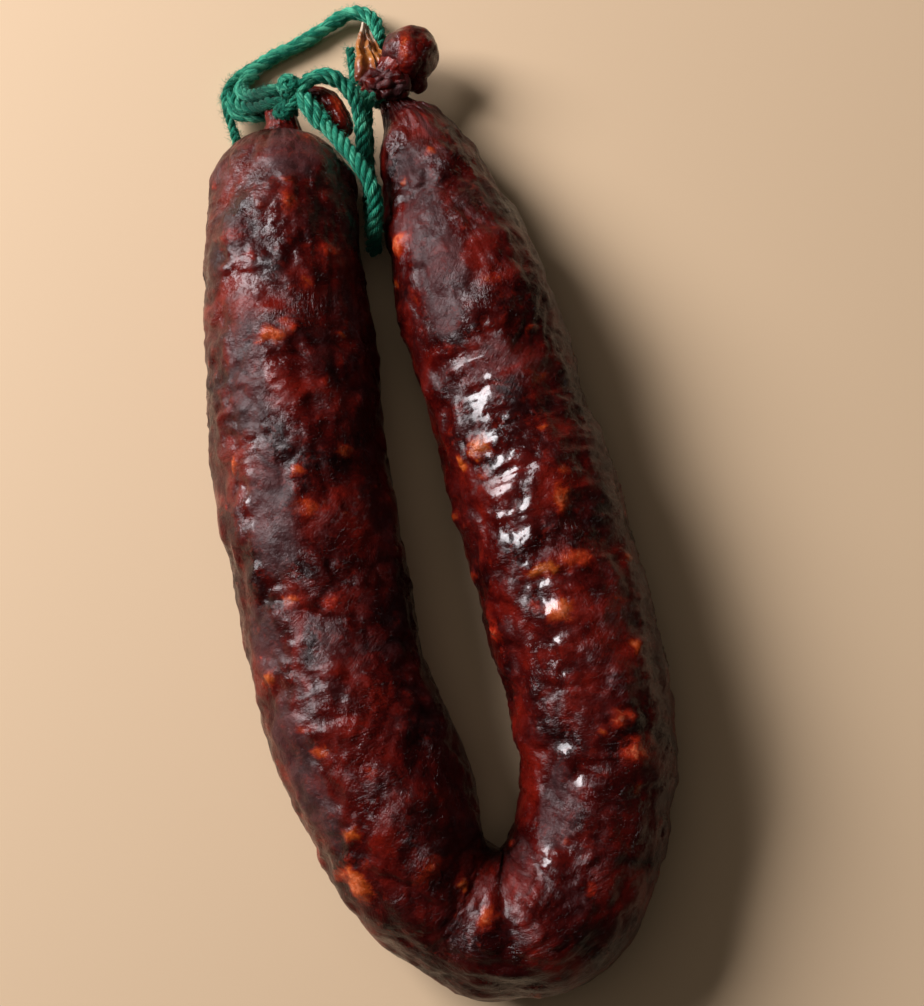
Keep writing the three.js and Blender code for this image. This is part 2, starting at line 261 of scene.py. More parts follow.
def string_tree():
    tree = bpy.data.node_groups.new("laid cotton string", "GeometryNodeTree")
    sizes = {
        "Strands": ("NodeSocketInt", 4), "Strand Reach": ("NodeSocketFloat", 1.1 * MM),
        "Strand Lay": ("NodeSocketFloat", 10 * MM), "Yarns": ("NodeSocketInt", 6),
        "Yarn Reach": ("NodeSocketFloat", 0.56 * MM), "Yarn Lay": ("NodeSocketFloat", -6 * MM),
        "Yarn Radius": ("NodeSocketFloat", 0.3 * MM), "Step": ("NodeSocketFloat", 0.4 * MM),
        "Fuzz": ("NodeSocketFloat", 1.0e6), "Fibre": ("NodeSocketFloat", 1.2 * MM),
        "Seed": ("NodeSocketInt", 1), "Material": ("NodeSocketMaterial", None),
    }
    tree.interface.new_socket("Geometry", in_out="INPUT", socket_type="NodeSocketGeometry")
    for name, (kind, first) in sizes.items():
        socket = tree.interface.new_socket(name, in_out="INPUT", socket_type=kind)
        if first is not None:
            socket.default_value = first
    tree.interface.new_socket("Geometry", in_out="OUTPUT", socket_type="NodeSocketGeometry")
    given = add(tree, "NodeGroupInput").outputs

    line = add(tree, "GeometryNodeResampleCurve", {"Curve": given["Geometry"], "Length": given["Step"]},
               mode="LENGTH").outputs["Curve"]
    strands = laid_round(tree, line, given["Strands"], given["Strand Reach"], given["Strand Lay"], 1.7)
    yarns = laid_round(tree, strands, given["Yarns"], given["Yarn Reach"], given["Yarn Lay"], 5.3)
    own = add(tree, "FunctionNodeRandomValue", {"Seed": given["Seed"]}, data_type="FLOAT").outputs[1]
    yarns = add(tree, "GeometryNodeStoreNamedAttribute", {"Geometry": yarns, "Name": "yarn", "Value": own},
                data_type="FLOAT", domain="CURVE").outputs["Geometry"]
    section = add(tree, "GeometryNodeCurvePrimitiveCircle",
                  {"Resolution": 5, "Radius": given["Yarn Radius"]})
    laid = {"Curve": yarns, "Profile Curve": section.outputs["Curve"], "Fill Caps": True}
    cord = add(tree, "GeometryNodeCurveToMesh", laid).outputs["Mesh"]

    length = given["Fibre"]
    middle = add(tree, "ShaderNodeCombineXYZ", {"X": math_of(tree, "MULTIPLY", length, 0.1),
                                                "Z": math_of(tree, "MULTIPLY", length, 0.6)}).outputs[0]
    tip = add(tree, "ShaderNodeCombineXYZ", {"X": math_of(tree, "MULTIPLY", length, 0.7),
                                             "Z": math_of(tree, "MULTIPLY", length, 0.55)}).outputs[0]
    hair = add(tree, "GeometryNodeCurveQuadraticBezier", {"Resolution": 3, "Middle": middle, "End": tip})
    hair.inputs["Start"].default_value = (0, 0, 0)
    thin = add(tree, "GeometryNodeCurvePrimitiveCircle", {"Resolution": 3, "Radius": 0.03 * MM})
    fibre = add(tree, "GeometryNodeCurveToMesh",
                {"Curve": hair.outputs["Curve"], "Profile Curve": thin.outputs["Curve"], "Fill Caps": True})
    roots = add(tree, "GeometryNodeDistributePointsOnFaces",
                {"Mesh": cord, "Density": given["Fuzz"], "Seed": given["Seed"]})
    low, high = (-0.5, -0.5, 0.0), (0.5, 0.5, math.tau)
    turn = add(tree, "FunctionNodeRandomValue", {0: low, 1: high, "Seed": given["Seed"]},
               data_type="FLOAT_VECTOR").outputs[0]
    turned = add(tree, "FunctionNodeRotateRotation",
                 {"Rotation": roots.outputs["Rotation"],
                  "Rotate By": add(tree, "FunctionNodeEulerToRotation", {"Euler": turn}).outputs[0]},
                 rotation_space="LOCAL")
    size = add(tree, "FunctionNodeRandomValue", {2: 0.3, 3: 1.2, "Seed": given["Seed"]},
               data_type="FLOAT").outputs[1]
    fuzz = add(tree, "GeometryNodeInstanceOnPoints",
               {"Points": roots.outputs["Points"], "Instance": fibre.outputs["Mesh"],
                "Rotation": turned.outputs["Rotation"], "Scale": size})
    both = add(tree, "GeometryNodeJoinGeometry")
    tree.links.new(cord, both.inputs[0])
    tree.links.new(fuzz.outputs["Instances"], both.inputs[0])
    whole = add(tree, "GeometryNodeRealizeInstances", {"Geometry": both.outputs[0]}).outputs[0]
    smooth = add(tree, "GeometryNodeSetShadeSmooth", {"Geometry": whole}).outputs[0]
    painted = add(tree, "GeometryNodeSetMaterial", {"Geometry": smooth, "Material": given["Material"]})
    add(tree, "NodeGroupOutput", {"Geometry": painted.outputs["Geometry"]})
    return tree


# Painted shade: the string's green where it lies in shadow.
SHADED_GREEN = (0.001, 0.03, 0.018)
DEEP_GREEN = (0.0, 0.045, 0.028)
STRING_GREEN = (0.006, 0.19, 0.115)
WORN_GREEN = (0.11, 0.48, 0.3)


def cotton_material():
    """Dyed cotton: mid teal-green, paler on the worn outer fibres and deep in the lay, and darker green as
    painted shade where the string lies in shadow.
    """
    material, tree, shader, place = new_material("green_cotton")
    worn = noise_of(tree, place, 260.0)
    grain = noise_of(tree, place, 2600.0, 2.0)
    share = plus(tree, math_of(tree, "MULTIPLY", worn, 0.8), 0.35, field_of(tree, "yarn"))
    share = plus(tree, share, 0.3, grain)
    green = ramp_of(tree, share, (0.4, DEEP_GREEN), (0.72, STRING_GREEN), (1.0, WORN_GREEN))
    # Painted shade: darker green where the string lies in shadow.
    string_shade = math_of(tree, "MULTIPLY", field_of(tree, "string_shade"), 0.92)
    finish_shader(tree, shader, mixed(tree, string_shade, green, SHADED_GREEN), grain, 0.5, 0.1 * MM,
                  Roughness=0.85, Specular_IOR_Level=0.2, Sheen_Weight=0.25, Sheen_Roughness=0.4,
                  Sheen_Tint=(0.5, 1.0, 0.8, 1))
    return material


STRING_TREE = string_tree()
GREEN_COTTON = cotton_material()


# Painted shade on the string where it lies in shadow: a place and how far the darkening spreads, in mm.
STRING_SHADE_SPOTS = [((-42.6, 97, 15.5), 7.5), ((-15.5, 98, 10), 4), ((-15, 61, 13), 7), ((-17, 77, 10), 9)]


def string_shade_share(places):
    away = [np.linalg.norm(places - np.array(place) * MM, axis=1) / (reach * MM) for place, reach in STRING_SHADE_SPOTS]
    return np.exp(-np.min(away, axis=0) ** 2)


def input_named(tree, name):
    """The identifier that a modifier knows a tree's input by."""
    return next(item.identifier for item in tree.interface.items_tree
                if item.name == name and item.in_out == "INPUT")


def lay_string(name, path, sizes, closed=False):
    """A string of these sizes along a path, as one plain mesh."""
    curve = bpy.data.curves.new(name + "_line", "CURVE")
    curve.dimensions = "3D"
    spline = curve.splines.new("POLY")
    spline.points.add(len(path) - 1)
    for point, place in zip(spline.points, path):
        point.co = (*place[:3], 1)
    spline.use_cyclic_u = closed
    line = bpy.data.objects.new(name + "_line", curve)
    collection.objects.link(line)
    modifier = line.modifiers.new("lay", "NODES")
    modifier.node_group = STRING_TREE
    for key, size in {**sizes, "Material": GREEN_COTTON}.items():
        modifier[input_named(STRING_TREE, key)] = size
    evaluated = line.evaluated_get(bpy.context.evaluated_depsgraph_get())
    mesh = bpy.data.meshes.new_from_object(evaluated)
    mesh.name = name
    bpy.data.objects.remove(line)
    places = np.empty(len(mesh.vertices) * 3, np.float32)
    mesh.vertices.foreach_get("co", places)
    places[2::3] = np.maximum(places[2::3], 0.05 * MM)
    mesh.vertices.foreach_set("co", places)
    # Painted shade: how deep in shadow each point of the string lies, kept for its colour.
    string_shade = mesh.attributes.new("string_shade", "FLOAT", "POINT")
    string_shade.data.foreach_set("value", string_shade_share(places.reshape(-1, 3)).astype(np.float32))
    piece = bpy.data.objects.new(name, mesh)
    collection.objects.link(piece)
    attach(piece, "root")
    return piece


def string_sizes(diameter, strands=4, seed=1, fuzz=1.4e6):
    """A round string of this diameter, in proportion."""
    radius = diameter / 2
    strand = radius / (1 + 1 / math.sin(math.pi / strands))
    return {
        "Strands": strands, "Strand Reach": radius - strand, "Strand Lay": diameter * 2.5,
        "Yarns": 8, "Yarn Reach": strand * 0.74, "Yarn Lay": -diameter * 1.9,
        "Yarn Radius": strand * 0.31, "Step": diameter * 0.14,
        "Fuzz": fuzz, "Fibre": 1.25 * MM, "Seed": seed,
    }


def free_string(name, points, seed):
    """A length of the loose string."""
    path = smooth_path(np.array(points) * MM, STRING * 0.1)
    piece = lay_string(name + "_string", path, string_sizes(STRING * 0.95, seed=seed))
    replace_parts(piece, name)
    return piece


free_string("hanging_loop", HANGING_LOOP, 3)
free_string("front_tail", FRONT_TAIL, 5)
free_string("back_tail", BACK_TAIL, 7)
free_string("right_tail", RIGHT_TAIL, 9)

# ---- Sausage: its run ----
# One length of filled casing, dried until it is firm. It lies flat, bent double round a tight
# fold, so each leg carries its own swellings and the two ends come together.

CALIBRE = 39 * MM
SLOT_LENGTH = 151.4 * MM
SLOT_WIDTH = 16 * MM
SLOT_LEAN = 30.7 * MM
FOLD_RADIUS = 2 * MM
FOLD_AT = (14.73 * MM, -80.38 * MM)
SETTLED = 0.95
CONTACT_DEPTH = 0.8 * MM
LEAN_STRETCH = 1.03
DOME_LENGTH = 18 * MM
DOME_LEAN = 0.02
DOME_FULLNESS = 0.88
TAPER_LENGTH = 28.5 * MM
TAPER_LEAN = 13 * MM
TAPER_RISE = 5.4 * MM
RIGHT_NECK = 6 * MM
RIGHT_NECK_HEIGHT = 9.5 * MM

# Shares of the slot's length, lean and width, then of the calibre on the left and right.
SLOT = [
    (0.06, 0.01, 0.63, 1.06, 0.885), (0.21, 0.2, 1.0, 1.05, 0.97), (0.365, 0.395, 0.97, 1.02, 0.985),
    (0.52, 0.57, 0.86, 1.055, 0.98), (0.68, 0.72, 0.68, 1.03, 0.925), (0.84, 0.885, 0.41, 1.0, 0.925),
    (0.92, 0.955, 0.33, 0.965, 0.86), (1.0, 1.0, 0.34, 0.91, 0.73),
]
# Turn round the fold in degrees, then the share of the calibre.
BEND = [(205, 0.96), (237, 0.87), (270, 0.905), (303, 0.92), (335, 0.89)]
# Turns from the left end's widest ring to its crown.
DOME_TURNS = [22, 42, 58, 71, 80, 88]
# Shares of the right end's length, lean, rise and of the calibre.
TAPER = [
    (0.3, 0.18, 0.24, 0.63), (0.5, 0.35, 0.42, 0.545), (0.7, 0.54, 0.65, 0.43), (0.84, 0.76, 1, 0.27),
]


def resting_height(radius):
    return radius * SETTLED - CONTACT_DEPTH


def leg_station(row, side):
    share, lean, gap, left, right = row
    radius = (left if side < 0 else right) * CALIBRE / 2
    x = FOLD_AT[0] - lean * SLOT_LEAN + side * (gap * SLOT_WIDTH / 2 + radius * LEAN_STRETCH)
    return x, FOLD_AT[1] + share * SLOT_LENGTH, resting_height(radius), radius


def bend_station(row):
    turn, radius = math.radians(row[0]), row[1] * CALIBRE / 2
    reach = radius + FOLD_RADIUS
    x = FOLD_AT[0] + reach * math.cos(turn)
    y = FOLD_AT[1] + reach * math.sin(turn)
    return x, y, resting_height(radius), radius


def dome_station(degrees):
    x, y, z, radius = left_leg[-1]
    turn = math.radians(degrees)
    narrowed = radius * math.cos(turn) ** DOME_FULLNESS
    return x - DOME_LEAN * DOME_LENGTH, y + DOME_LENGTH * math.sin(turn), z, narrowed


def taper_station(row):
    share, lean, rise, width = row
    radius = width * CALIBRE / 2
    x = right_leg[-1][0] - lean * TAPER_LEAN
    y = right_leg[-1][1] + share * TAPER_LENGTH
    return x, y, resting_height(radius) + rise * TAPER_RISE, radius


left_leg = [leg_station(row, -1) for row in SLOT]
right_leg = [leg_station(row, 1) for row in SLOT]
RIGHT_NECK_AT = (right_leg[-1][0] - TAPER_LEAN, right_leg[-1][1] + TAPER_LENGTH, RIGHT_NECK_HEIGHT)
STATIONS = [
    *[dome_station(degrees) for degrees in reversed(DOME_TURNS)],
    *reversed(left_leg),
    *[bend_station(row) for row in BEND],
    *right_leg,
    *[taper_station(row) for row in TAPER],
    (*RIGHT_NECK_AT, RIGHT_NECK / 2),
]

# ---- Sausage: skin ----
# Rings of points round the run. The casing has dried tight over lumps of meat and fat: broad
# swellings, flat facets with creases between them, wrinkles, and hard fat standing proud.

RING_STEP = 0.7 * MM
RING_POINTS = 140
CROWD_ON_TOP = 0.25
rng = np.random.default_rng(11)


def rings_along(path, sides, settled=1.0, crowd=0.0):
    """Points, outward directions and turns of the rings round a path. crowd packs them on top."""
    centre, radius = path[:, :3], path[:, 3]
    tangent = np.gradient(centre, axis=0)
    tangent /= np.linalg.norm(tangent, axis=1)[:, None]
    side = np.cross(tangent, (0, 0, 1))
    side /= np.linalg.norm(side, axis=1)[:, None]
    top = np.cross(side, tangent)
    u = np.arange(sides) / sides
    turn = -math.pi / 2 + math.tau * u + crowd * np.sin(math.tau * u)
    out = side[:, None] * np.cos(turn)[None, :, None] + top[:, None] * np.sin(turn)[None, :, None]
    upward = settled * top[:, None] * np.sin(turn)[None, :, None]
    reach = side[:, None] * np.cos(turn)[None, :, None] + upward
    points = centre[:, None] + reach * radius[:, None, None]
    return points, out, turn


LATTICE_GAIN = 1.6


def lattice(points, spacing, seed):
    """Smooth random heights, from about -1 to 1, that change over this spacing.

    Each corner of a lattice has its own slope, hashed from its place, and the heights between
    the corners blend theirs.
    """
    scaled_points = points / spacing + seed * 17.31
    corner = np.floor(scaled_points).astype(np.int64)
    inside = scaled_points - corner
    ease = inside ** 3 * (inside * (inside * 6 - 15) + 10)
    total = np.zeros(points.shape[:-1])
    for bits in np.ndindex(2, 2, 2):
        cell = corner + bits
        key = (cell[..., 0] * 73856093) ^ (cell[..., 1] * 19349663) ^ (cell[..., 2] * 83492791)
        key = ((key ^ (key >> 13)) * 1274126177) & 0x7FFFFFFF
        angle = (key % 6283) / 1000.0
        height = ((key >> 8) % 2000) / 1000.0 - 1
        flat = np.sqrt(np.clip(1 - height ** 2, 0, 1))
        from_corner = inside - bits
        slope = (from_corner[..., 0] * flat * np.cos(angle) + from_corner[..., 1] * flat * np.sin(angle)
                 + from_corner[..., 2] * height)
        weight = np.prod(np.where(bits, ease, 1 - ease), axis=-1)
        total += slope * weight
    return total * LATTICE_GAIN


def bell(distance, width):
    return np.exp(-(distance / width) ** 2)


body_path = smooth_path(STATIONS, RING_STEP)
surface, outward, turns = rings_along(body_path, RING_POINTS, SETTLED, CROWD_ON_TOP)
run = np.concatenate([[0], np.cumsum(np.linalg.norm(np.diff(body_path[:, :3], axis=0), axis=1))])
girth = body_path[:, 3]
RUN = run[:, None] + 0 * turns[None]
TURN = turns[None] + 0 * run[:, None]
SHARE = RUN / run[-1]


def skin_lattice(along, around, twist, seed):
    """Lattice heights stretched along or round the skin. twist turns the pattern as it runs."""
    wound = TURN + twist * RUN
    arc = girth.max()
    spot = np.stack([RUN / along, np.cos(wound) * arc / around, np.sin(wound) * arc / around], axis=-1)
    return lattice(spot, 1.0, seed)


def ridges(height):
    return (1 - np.abs(height) * 2) ** 2


# The same surface drawn out straight: its run, then a circle of the mean girth. Wrinkles and
# scattered fat are laid out on it, and so is the grain of the material.
MEAN_RADIUS = float(girth.max()) * 0.95
straight = np.stack([RUN, np.cos(TURN) * MEAN_RADIUS, np.sin(TURN) * MEAN_RADIUS], axis=-1)

# How far each place is into the tight side of the fold, and how near to a tied end.
in_fold = bell(SHARE - 0.485, 0.075) * np.clip(-np.cos(TURN), 0, 1)
gather = bell(run[-1] - RUN, 11 * MM) + bell(RUN, 6 * MM)

# How deep each part of the relief is, in mm.
BROAD_LUMPS = 0.95
SMALL_LUMPS = 0.6
DENTS = 0.3
WRINKLES_ACROSS = 0.5
WRINKLES_ALONG = 0.34
WRINKLES_SLANTING = 0.45
PLEATS = 0.9
FACET_CREASE = 0.32
FACET_DOME = 0.2
FACET_TILT_LIMIT = 0.5
PROUD_FAT = 0.7
FOLD_GROOVE = 1.4
DRAWN_FLAT = 2.4

lumps = lattice(surface, 19 * MM, 1) * BROAD_LUMPS + lattice(surface, 9 * MM, 2) * SMALL_LUMPS
dents = lattice(surface, 4.6 * MM, 3) * DENTS
across = skin_lattice(3.2 * MM, 17 * MM, 0, 4)
along = skin_lattice(20 * MM, 3.0 * MM, 0, 5)
slanting = skin_lattice(16 * MM, 3.2 * MM, 40, 6)
zone = skin_lattice(24 * MM, 20 * MM, 0, 7)
inner_side = np.clip(-np.cos(TURN), 0, 1)
right_leg_only = np.clip((SHARE - 0.6) * 12, 0, 1) * np.clip((0.86 - SHARE) * 12, 0, 1)
wrinkles = (
    ridges(across) * np.clip(0.4 + zone + right_leg_only * 0.7 - inner_side, 0, 1.2) * WRINKLES_ACROSS
    + ridges(along) * np.clip(0.1 - zone + inner_side, 0, 1) * WRINKLES_ALONG
    + ridges(slanting) * np.clip(0.3 + skin_lattice(30 * MM, 30 * MM, 0, 8), 0, 1) * WRINKLES_SLANTING
)
pleats = ridges(skin_lattice(60 * MM, 5 * MM, 0, 10)) * gather * PLEATS

# Facets: the casing spans flat between hard lumps, with a crease where two spans meet.
FACETS = 1300
FACET_LEAN = 0.085
FACET_WARP = 2.6 * MM
CREASE_WIDTH = 0.8 * MM
FACET_REACH = 5 * MM
flat_straight = straight.reshape(-1, 3)
picked = rng.choice(len(flat_straight), FACETS, replace=False)
facet_tree = KDTree(FACETS)
for index, spot in enumerate(flat_straight[picked]):
    facet_tree.insert(spot, index)
facet_tree.balance()
warp = np.stack([lattice(flat_straight, 5 * MM, 20 + axis) for axis in range(3)], axis=-1)
warped = flat_straight + warp * FACET_WARP
found = [facet_tree.find_n(spot, 2) for spot in warped]
near = np.array([[hit[2] for hit in pair] for pair in found]).reshape(*surface.shape[:2], 2)
owner = np.array([pair[0][1] for pair in found])
lean = rng.normal(0, FACET_LEAN, (FACETS, 3))
from_middle = warped - flat_straight[picked][owner]
leaning = (from_middle * lean[owner]).sum(axis=1).reshape(surface.shape[:2]) / MM
for _ in range(2):
    leaning = (leaning * 2 + np.roll(leaning, 1, axis=1) + np.roll(leaning, -1, axis=1)) / 4
    leaning[1:-1] = (leaning[1:-1] * 2 + leaning[2:] + leaning[:-2]) / 4
facet_edge = bell(near[..., 1] - near[..., 0], CREASE_WIDTH)
facet_dome = 1 - np.clip(near[..., 0] / FACET_REACH, 0, 1) ** 2
crease_zone = np.clip(0.35 + lattice(surface, 12 * MM, 9) * 1.5, 0, 1)
creases = -facet_edge * crease_zone * FACET_CREASE + facet_dome * FACET_DOME
creases = creases + np.clip(leaning, -FACET_TILT_LIMIT, FACET_TILT_LIMIT)

# Fat that shows: share of the run, turn in degrees (0 the outer side, 90 the top), size in mm,
# how clear it is, and 0 for red to 1 for amber.
FAT = [
    (0.901, 141, 2.7, 1.0, 0.25), (0.058, 98, 2.0, 0.8, 0.2), (0.084, 128, 2.0, 0.7, 0.1),
    (0.010, 128, 2.6, 0.5, 0.5), (0.949, 88, 1.3, 0.7, 0.6), (0.938, 128, 0.9, 0.8, 0.8),
    (0.130, 82, 2.4, 0.9, 0.5), (0.125, 92, 1.6, 0.8, 0.1), (0.196, 124, 1.5, 0.8, 0.4),
    (0.196, 45, 1.4, 0.8, 0.6), (0.224, 96, 2.4, 0.6, 0.3), (0.206, 92, 1.3, 0.7, 0.5),
    (0.776, 122, 2.3, 0.9, 1.0), (0.771, 141, 1.6, 0.9, 0.8), (0.776, 72, 1.4, 0.7, 0.6),
    (0.806, 62, 1.6, 0.6, 0.6), (0.738, 78, 2.2, 1.0, 0.35), (0.704, 102, 2.2, 0.9, 1.0),
    (0.706, 80, 2.5, 0.9, 0.25), (0.681, 98, 2.6, 1.0, 0.6), (0.681, 158, 2.4, 0.8, 0.0),
    (0.653, 54, 1.5, 0.8, 0.5), (0.752, 71, 1.4, 0.7, 0.3), (0.834, 60, 1.5, 0.6, 0.5),
    (0.309, 41, 1.5, 0.8, 0.9), (0.270, 64, 1.1, 0.7, 0.7), (0.350, 66, 1.4, 0.7, 0.6),
    (0.393, 64, 1.7, 0.8, 0.8), (0.414, 52, 2.9, 1.0, 0.6), (0.410, 39, 1.9, 0.8, 0.3),
    (0.424, 102, 3.0, 0.7, 0.15), (0.446, 111, 1.8, 1.0, 0.7), (0.477, 98, 2.2, 0.9, 0.35),
    (0.622, 74, 2.0, 0.9, 0.1), (0.605, 64, 2.9, 0.9, 0.1), (0.531, 78, 1.3, 0.6, 0.1),
    (0.074, 54, 2.4, 0.35, 0.0), (0.276, 96, 2.2, 0.45, 0.0),
]
SCATTERED_FAT = 210
FAT_SPREAD = 1.2
fat_places = [(share, math.radians(turn), size * FAT_SPREAD, clear, tint)
              for share, turn, size, clear, tint in FAT]
for _ in range(SCATTERED_FAT):
    fat_places.append((rng.uniform(0.02, 0.96), rng.uniform(0, math.tau), rng.uniform(0.6, 2.0),
                       rng.uniform(0.1, 0.7), rng.uniform(0, 0.9)))
fat = np.zeros(surface.shape[:2])
fat_tint = np.zeros(surface.shape[:2])
proud = np.zeros(surface.shape[:2])
FAT_WARP = 1.3 * MM
fat_warp = np.stack([lattice(straight, 2.6 * MM, 30 + axis) for axis in range(3)], axis=-1) * FAT_WARP
for share, turn, size, clear, tint in fat_places:
    streaky = rng.uniform(0.75, 1.7)
    rows = np.abs(run - share * run[-1]) < 9 * MM
    row = int(round(share * (len(run) - 1)))
    spot = np.array([run[row], math.cos(turn) * MEAN_RADIUS, math.sin(turn) * MEAN_RADIUS])
    away = (straight[rows] + fat_warp[rows] - spot) * (streaky, 1 / streaky, 1 / streaky)
    distance = np.linalg.norm(away, axis=-1)
    share_of = np.clip(1.4 - distance / (size * MM), 0, 1) * clear
    fat_tint[rows] = np.where(share_of > fat[rows], tint, fat_tint[rows])
    fat[rows] = np.maximum(fat[rows], share_of)
    proud[rows] = np.maximum(proud[rows], bell(distance, size * MM * 0.8) * clear * clear * PROUD_FAT)

# Dry matt casing with a painted sheen where the skin faces the window, and places that stay wet: share of
# the run, turn, half length and half width.
BLOOM_AND_SHEEN = [
    (0.02, 102, 11, 8), (0.898, 112, 20, 7), (0.867, 118, 16, 6), (0.935, 118, 10, 5),
    (0.225, 69, 16, 6), (0.289, 41, 10, 5), (0.576, 120, 14, 6), (0.15, 62, 14, 5),
    (0.36, 45, 16, 6), (0.968, 78, 5, 2.4),
]
WET = [
    (0.811, 109, 9, 6), (0.738, 112, 8, 5), (0.696, 104, 9, 6), (0.66, 110, 9, 5),
    (0.225, 62, 12, 5), (0.59, 112, 10, 5), (0.545, 108, 9, 5), (0.77, 105, 8, 5),
]


def patches(places):
    """Soft oval patches on the skin, from 0 to 1."""
    total = np.zeros(surface.shape[:2])
    for share, turn, half_length, half_width in places:
        turn = math.radians(turn)
        spot = np.array([share * run[-1], math.cos(turn) * MEAN_RADIUS, math.sin(turn) * MEAN_RADIUS])
        away = (straight - spot) / (np.array([half_length, half_width, half_width]) * MM)
        total = np.maximum(total, bell(np.linalg.norm(away, axis=-1), 1.0))
    return total


# Dry matt casing and painted sheen, from the patches above and a little noise.
bloom_and_sheen = np.clip(patches(BLOOM_AND_SHEEN) * 1.3 + lattice(surface, 15 * MM, 40) * 0.35, 0, 1)
wet = np.clip(patches(WET) * 1.2 + lattice(surface, 18 * MM, 41) * 0.3, 0, 1)

# The outer side of the bend is drawn flat on the left, where the casing is stretched over it.
FLATTENED = [(0.422, 12, 22, 15)]

# The fold pinches a groove into the tight side of the bend, up over the top.
FOLD_SHARE = 0.487
GROOVE_WIDTH = 2.6 * MM
fold_groove = bell((SHARE - FOLD_SHARE) * run[-1], GROOVE_WIDTH)
fold_groove = fold_groove * np.clip(math.pi - 0.35 - np.abs(TURN - 2.4), 0, 1)

# The relief dies away towards the two ends, and nothing sinks below the floor.
CALM_LENGTH = 10 * MM
LOWEST = 0.15 * MM
calm = np.clip(np.minimum(run, run[-1] - run) / CALM_LENGTH, 0, 1)[:, None] ** 0.7
height = (lumps + dents + wrinkles + creases) * calm * (1 - 0.6 * in_fold) + proud - pleats
height -= fold_groove * FOLD_GROOVE + patches(FLATTENED) * DRAWN_FLAT
surface = surface + outward * (height * MM)[..., None]
surface[..., 2] = np.maximum(surface[..., 2], LOWEST + 0.12 * MM * np.abs(dents))


def skin_mesh(name, points, start, end, fields, straightened):
    """One closed skin over rings of points, with a hub at each end and fields for its finish."""
    count, sides = points.shape[:2]
    vertices = np.concatenate([points.reshape(-1, 3), [start], [end]])
    ring = np.arange(count - 1)[:, None] * sides
    k = np.arange(sides)[None]
    following = (k + 1) % sides
    corners = [ring + k, ring + sides + k, ring + sides + following, ring + following]
    faces = [tuple(quad) for quad in np.stack(corners, -1).reshape(-1, 4).tolist()]
    hub, last = count * sides, (count - 1) * sides
    faces += [(hub, i, (i + 1) % sides) for i in range(sides)]
    faces += [(hub + 1, last + (i + 1) % sides, last + i) for i in range(sides)]
    mesh = bpy.data.meshes.new(name)
    mesh.from_pydata(vertices.tolist(), [], faces)
    for label, field in fields.items():
        ends = [field[0].mean(), field[-1].mean()]
        finish_field(mesh, label, np.concatenate([field.ravel(), ends]))
    ends = [straightened[0].mean(axis=0), straightened[-1].mean(axis=0)]
    finish_field(mesh, "straight", np.concatenate([straightened.reshape(-1, 3), ends]))
    mesh.shade_smooth()
    return mesh


def finish_field(mesh, label, values):
    """Keeps one number, or one place, for each point of the mesh."""
    if values.ndim == 1:
        mesh.attributes.new(label, "FLOAT", "POINT").data.foreach_set("value", values.astype(np.float32))
    else:
        attribute = mesh.attributes.new(label, "FLOAT_VECTOR", "POINT")
        attribute.data.foreach_set("vector", values.astype(np.float32).ravel())


def place_piece(name, mesh, material):
    piece = bpy.data.objects.new(name, mesh)
    collection.objects.link(piece)
    mesh.materials.append(material)
    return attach(piece, "root")


def effect_group(name, sizes):
    """A node group on a piece's own coordinates, with these sizes as inputs and a height as output."""
    tree = bpy.data.node_groups.new(name, "ShaderNodeTree")
    tree.interface.new_socket("Vector", in_out="INPUT", socket_type="NodeSocketVector")
    for label, size in sizes.items():
        socket = tree.interface.new_socket(label, in_out="INPUT", socket_type="NodeSocketFloat")
        socket.default_value = size
    tree.interface.new_socket("Height", in_out="OUTPUT", socket_type="NodeSocketFloat")
    return tree, add(tree, "NodeGroupInput").outputs


def wrinkle_group():
    """Fine wrinkles in one direction: heights from 0 to 1, stretched along or round the skin."""
    tree, given = effect_group("fine wrinkles", {"Along": 1 * MM, "Around": 6 * MM, "Twist": 0.0})
    along = add(tree, "ShaderNodeSeparateXYZ", {"Vector": given["Vector"]}).outputs["X"]
    wound = add(tree, "ShaderNodeVectorRotate",
                {"Vector": given["Vector"], "Angle": math_of(tree, "MULTIPLY", along, given["Twist"])},
                rotation_type="X_AXIS").outputs["Vector"]
    inverse_along = math_of(tree, "DIVIDE", 1.0, given["Along"])
    inverse_around = math_of(tree, "DIVIDE", 1.0, given["Around"])
    stretch = add(tree, "ShaderNodeCombineXYZ",
                  {"X": inverse_along, "Y": inverse_around, "Z": inverse_around}).outputs[0]
    spot = vector_of(tree, "MULTIPLY", wound, stretch)
    noise = add(tree, "ShaderNodeTexNoise", {"Vector": spot, "Scale": 1.0, "Detail": 3.0, "Roughness": 0.55,
                                             "Distortion": 1.4}).outputs["Fac"]
    centred = math_of(tree, "SUBTRACT", math_of(tree, "MULTIPLY", noise, 4.0), 2.0)
    folded = math_of(tree, "ABSOLUTE", centred)
    sharp = math_of(tree, "SUBTRACT", 1.0, math_of(tree, "MINIMUM", folded, 1.0))
    add(tree, "NodeGroupOutput", {"Height": sharp})
    return tree


